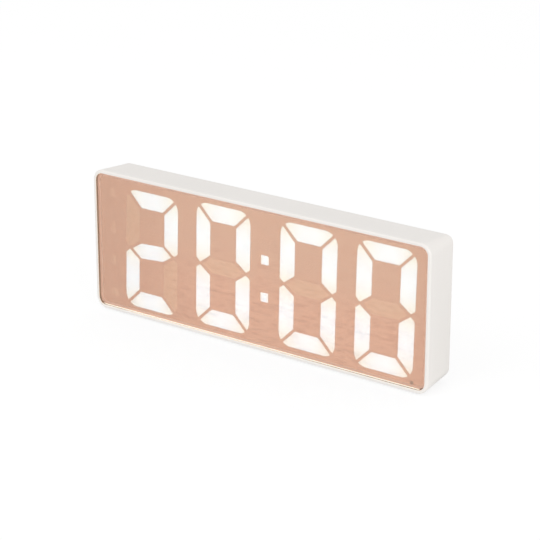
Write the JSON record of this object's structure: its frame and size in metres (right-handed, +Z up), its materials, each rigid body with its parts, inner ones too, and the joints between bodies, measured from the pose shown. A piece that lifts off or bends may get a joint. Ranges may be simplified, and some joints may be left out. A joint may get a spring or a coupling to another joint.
{
  "type": "digital desk clock",
  "caption": "Slim desk clock with a rose-gold mirrored front, large lit digits and a white tapered housing with keys and a battery door at the back.",
  "frame": {"origin": "centre of the bounding box at its lowest level, on the surface that the feet stand on", "axes": "+X to the viewer's right, +Y from the display to the back, +Z up"},
  "size_m": [0.1598, 0.025, 0.0601],
  "materials": {
    "white_shell": "fine satin moulding",
    "white_door": "fine satin moulding",
    "clear_panel": "polished clear sheet",
    "mirror_film": "rose-gold half mirror",
    "black_mask": "printed black",
    "foam_tape": "adhesive foam",
    "white_reflector": "white moulding",
    "lit_lens": "lit diffuser",
    "dark_lens": "unlit diffuser",
    "board": "solder mask",
    "lamp": "lamp phosphor",
    "sensor": "dark resin",
    "screw_steel": "zinc plated",
    "black_plastic": "moulded black",
    "tinned_metal": "tinned",
    "small_parts": "ceramic chips",
    "probe": "resin bead",
    "plated_steel": "nickel plated",
    "coin_steel": "nickel plated",
    "cell_wrap": "printed sleeve",
    "key_plastic": "satin moulding",
    "plunger_plastic": "moulded",
    "knob_plastic": "moulded",
    "foot_rubber": "soft pad"
  },
  "bodies": {
    "clock": {"battery_contacts": "plated_steel", "board_header": "black_plastic", "buzzer": "black_plastic", "cell_1": "cell_wrap", "cell_2": "cell_wrap", "cell_3": "cell_wrap", "chip_leads": "tinned_metal", "clock_chip": "black_plastic", "coin_cell": "coin_steel", "coin_clip": "plated_steel", "coin_holder": "black_plastic", "colon_lenses": "lit_lens", "control_board": "board", "control_screws": "screw_steel", "crystal": "tinned_metal", "digit_1_dark_lenses": "dark_lens", "digit_1_lit_lenses": "lit_lens", "digit_2_dark_lenses": "dark_lens", "digit_2_lit_lenses": "lit_lens", "digit_3_dark_lenses": "dark_lens", "digit_3_lit_lenses": "lit_lens", "digit_4_dark_lenses": "dark_lens", "digit_4_lit_lenses": "lit_lens", "display_board": "board", "display_lamps": "lamp", "display_mask": "black_mask", "driver_chip": "black_plastic", "frame_screws": "screw_steel", "front_feet": "foot_rubber", "housing": "white_shell", "icon_lenses": "dark_lens", "light_sensor": "sensor", "mirror_film": "mirror_film", "mirror_panel": "clear_panel", "panel_tape": "foam_tape", "power_socket": "plated_steel", "press_switches": "black_plastic", "rear_feet": "foot_rubber", "reflector_block": "white_reflector", "slide_switch": "plated_steel", "small_parts": "small_parts", "socket_tongue": "black_plastic", "temperature_probe": "probe"},
    "key_1": {"key_1": "key_plastic", "plunger_1": "plunger_plastic"},
    "key_2": {"key_2": "key_plastic", "plunger_2": "plunger_plastic"},
    "key_3": {"key_3": "key_plastic", "plunger_3": "plunger_plastic"},
    "key_4": {"key_4": "key_plastic", "plunger_4": "plunger_plastic"},
    "key_5": {"key_5": "key_plastic", "plunger_5": "plunger_plastic"},
    "switch_knob": {"slide_knob": "knob_plastic"},
    "door": {"battery_door": "white_door"}
  },
  "joints": [
    {"name": "key_1_press", "type": "slide", "parent": "clock", "child": "key_1", "axis": [0, -1, 0], "range_m": [0, 0.0003], "stiffness_N_per_m": 2000, "springref_m": -0.0002},
    {"name": "key_2_press", "type": "slide", "parent": "clock", "child": "key_2", "axis": [0, -1, 0], "range_m": [0, 0.0003], "stiffness_N_per_m": 2000, "springref_m": -0.0002},
    {"name": "key_3_press", "type": "slide", "parent": "clock", "child": "key_3", "axis": [0, -1, 0], "range_m": [0, 0.0003], "stiffness_N_per_m": 2000, "springref_m": -0.0002},
    {"name": "key_4_press", "type": "slide", "parent": "clock", "child": "key_4", "axis": [0, -1, 0], "range_m": [0, 0.0003], "stiffness_N_per_m": 2000, "springref_m": -0.0002},
    {"name": "key_5_press", "type": "slide", "parent": "clock", "child": "key_5", "axis": [0, -1, 0], "range_m": [0, 0.0003], "stiffness_N_per_m": 2000, "springref_m": -0.0002},
    {"name": "switch_slide", "type": "slide", "parent": "clock", "child": "switch_knob", "axis": [1, 0, 0], "range_m": [0, 0.002]},
    {"name": "door_slide", "type": "slide", "parent": "clock", "child": "door", "axis": [-1, 0, 0], "range_m": [0, 0.052]}
  ]
}
